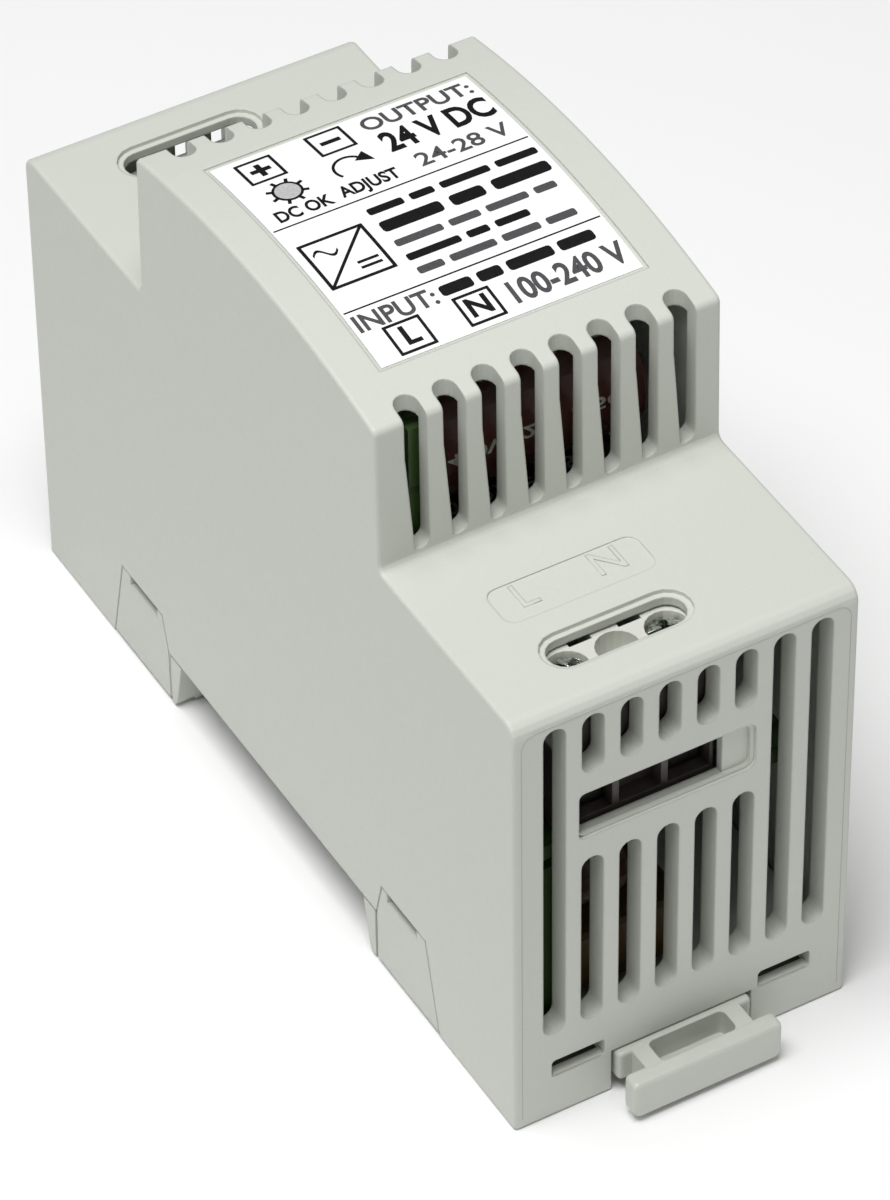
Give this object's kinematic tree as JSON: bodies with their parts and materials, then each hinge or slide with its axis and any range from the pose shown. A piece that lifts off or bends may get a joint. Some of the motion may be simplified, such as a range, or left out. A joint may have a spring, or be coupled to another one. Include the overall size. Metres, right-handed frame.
{
  "type": "din rail power supply",
  "caption": "Narrow rail-mounted power supply: grey vented housing with a raised curved front, screw terminals at both ends and a sprung rail foot.",
  "frame": {"origin": "middle of the rail seat, the flat face that rests on the front of the mounting rail", "axes": "+Z out of the labelled front face, +X across the width of the module, +Y from the input terminals to the output terminals"},
  "size_m": [0.035, 0.0948, 0.0683],
  "materials": {
    "shell_plastic": "light grey moulded polycarbonate, fine satin",
    "base_plastic": "light grey moulded polycarbonate, satin",
    "label_film": "white printed label film, semi-gloss",
    "board_green": "glass-epoxy board with green solder mask",
    "terminal_plastic": "pale grey moulded terminal block",
    "zinc_steel": "bright zinc-plated steel",
    "brass_plate": "plated brass",
    "tin_plate": "tinned brass",
    "ferrite": "dark grey ferrite",
    "winding_tape": "yellow tape over a copper winding",
    "black_plastic": "black moulded plastic",
    "copper_wire": "enamelled copper wire",
    "film_box": "yellow moulded capacitor box",
    "fuse_brown": "brown moulded fuse case",
    "disc_blue": "blue epoxy dip",
    "sleeve_brown": "dark brown printed sleeve over an aluminium can",
    "heatsink_aluminium": "plain sheet, satin",
    "lens_clear": "clear moulded light guide",
    "led_green": "green tinted lens",
    "trimmer_blue": "blue moulded trimmer body"
  },
  "bodies": {
    "housing": {"cover": "shell_plastic", "label": "label_film", "rail_base": "base_plastic", "input_terminal_block": "terminal_plastic", "output_terminal_block": "terminal_plastic", "main_board": "board_green", "input_board": "board_green", "output_board": "board_green", "transformer_core": "ferrite", "transformer_winding": "winding_tape", "transformer_bobbin": "black_plastic", "input_fuse": "fuse_brown", "line_capacitor": "film_box", "varistor": "disc_blue", "line_choke": "copper_wire", "bridge_rectifier": "black_plastic", "bulk_capacitor_1": "sleeve_brown", "bulk_capacitor_2": "sleeve_brown", "primary_heatsink": "heatsink_aluminium", "switch_transistor": "black_plastic", "optocoupler": "black_plastic", "safety_capacitor": "disc_blue", "secondary_heatsink": "heatsink_aluminium", "output_rectifier": "black_plastic", "output_capacitor_1": "black_plastic", "output_capacitor_2": "black_plastic", "output_inductor": "copper_wire", "controller_chip": "black_plastic", "sense_resistor": "black_plastic", "trimmer_body": "trimmer_blue", "led_holder": "black_plastic", "status_led": "led_green", "light_guide": "lens_clear", "input_line_contact": "tin_plate", "input_neutral_contact": "tin_plate", "output_plus_1_contact": "tin_plate", "output_plus_2_contact": "tin_plate", "output_minus_1_contact": "tin_plate", "output_minus_2_contact": "tin_plate"},
    "foot": {"rail_foot": "base_plastic"},
    "input_line_screw": {"input_line_screw": "zinc_steel"},
    "input_line_clamp": {"input_line_clamp": "zinc_steel"},
    "input_neutral_screw": {"input_neutral_screw": "zinc_steel"},
    "input_neutral_clamp": {"input_neutral_clamp": "zinc_steel"},
    "output_plus_1_screw": {"output_plus_1_screw": "zinc_steel"},
    "output_plus_1_clamp": {"output_plus_1_clamp": "zinc_steel"},
    "output_plus_2_screw": {"output_plus_2_screw": "zinc_steel"},
    "output_plus_2_clamp": {"output_plus_2_clamp": "zinc_steel"},
    "output_minus_1_screw": {"output_minus_1_screw": "zinc_steel"},
    "output_minus_1_clamp": {"output_minus_1_clamp": "zinc_steel"},
    "output_minus_2_screw": {"output_minus_2_screw": "zinc_steel"},
    "output_minus_2_clamp": {"output_minus_2_clamp": "zinc_steel"},
    "trimmer_rotor": {"trimmer_rotor": "brass_plate"}
  },
  "joints": [
    {"name": "rail_foot_slide", "type": "slide", "parent": "housing", "child": "foot", "axis": [0, -1, 0], "range_m": [0, 0.004], "stiffness_N_per_m": 2000, "springref_m": -0.001},
    {"name": "input_line_screw_turn", "type": "hinge", "parent": "housing", "child": "input_line_screw", "pos_m": [-0.0085, -0.0391, 0.0415], "axis": [0, 0, 1], "range_deg": [-2305, 0]},
    {"name": "input_line_clamp_rise", "type": "slide", "parent": "housing", "child": "input_line_clamp", "axis": [0, 0, 1], "range_m": [0, 0.0032]},
    {"name": "input_neutral_screw_turn", "type": "hinge", "parent": "housing", "child": "input_neutral_screw", "pos_m": [0.0015, -0.0391, 0.0415], "axis": [0, 0, 1], "range_deg": [-2305, 0]},
    {"name": "input_neutral_clamp_rise", "type": "slide", "parent": "housing", "child": "input_neutral_clamp", "axis": [0, 0, 1], "range_m": [0, 0.0032]},
    {"name": "output_plus_1_screw_turn", "type": "hinge", "parent": "housing", "child": "output_plus_1_screw", "pos_m": [-0.0091, 0.0391, 0.0415], "axis": [0, 0, 1], "range_deg": [-2401, 0]},
    {"name": "output_plus_1_clamp_rise", "type": "slide", "parent": "housing", "child": "output_plus_1_clamp", "axis": [0, 0, 1], "range_m": [0, 0.003]},
    {"name": "output_plus_2_screw_turn", "type": "hinge", "parent": "housing", "child": "output_plus_2_screw", "pos_m": [-0.0053, 0.0391, 0.0415], "axis": [0, 0, 1], "range_deg": [-2401, 0]},
    {"name": "output_plus_2_clamp_rise", "type": "slide", "parent": "housing", "child": "output_plus_2_clamp", "axis": [0, 0, 1], "range_m": [0, 0.003]},
    {"name": "output_minus_1_screw_turn", "type": "hinge", "parent": "housing", "child": "output_minus_1_screw", "pos_m": [-0.0015, 0.0391, 0.0415], "axis": [0, 0, 1], "range_deg": [-2401, 0]},
    {"name": "output_minus_1_clamp_rise", "type": "slide", "parent": "housing", "child": "output_minus_1_clamp", "axis": [0, 0, 1], "range_m": [0, 0.003]},
    {"name": "output_minus_2_screw_turn", "type": "hinge", "parent": "housing", "child": "output_minus_2_screw", "pos_m": [0.0023, 0.0391, 0.0415], "axis": [0, 0, 1], "range_deg": [-2401, 0]},
    {"name": "output_minus_2_clamp_rise", "type": "slide", "parent": "housing", "child": "output_minus_2_clamp", "axis": [0, 0, 1], "range_m": [0, 0.003]},
    {"name": "trimmer_turn", "type": "hinge", "parent": "housing", "child": "trimmer_rotor", "pos_m": [-0.00562, 0.0177, 0.0498], "axis": [0, 1, 0], "range_deg": [-135, 135]}
  ],
  "couplings": [
    {"joint": "input_line_screw_turn", "follows": "input_line_clamp_rise", "rad_per_m": -12566},
    {"joint": "input_neutral_screw_turn", "follows": "input_neutral_clamp_rise", "rad_per_m": -12566},
    {"joint": "output_plus_1_screw_turn", "follows": "output_plus_1_clamp_rise", "rad_per_m": -13963},
    {"joint": "output_plus_2_screw_turn", "follows": "output_plus_2_clamp_rise", "rad_per_m": -13963},
    {"joint": "output_minus_1_screw_turn", "follows": "output_minus_1_clamp_rise", "rad_per_m": -13963},
    {"joint": "output_minus_2_screw_turn", "follows": "output_minus_2_clamp_rise", "rad_per_m": -13963}
  ]
}
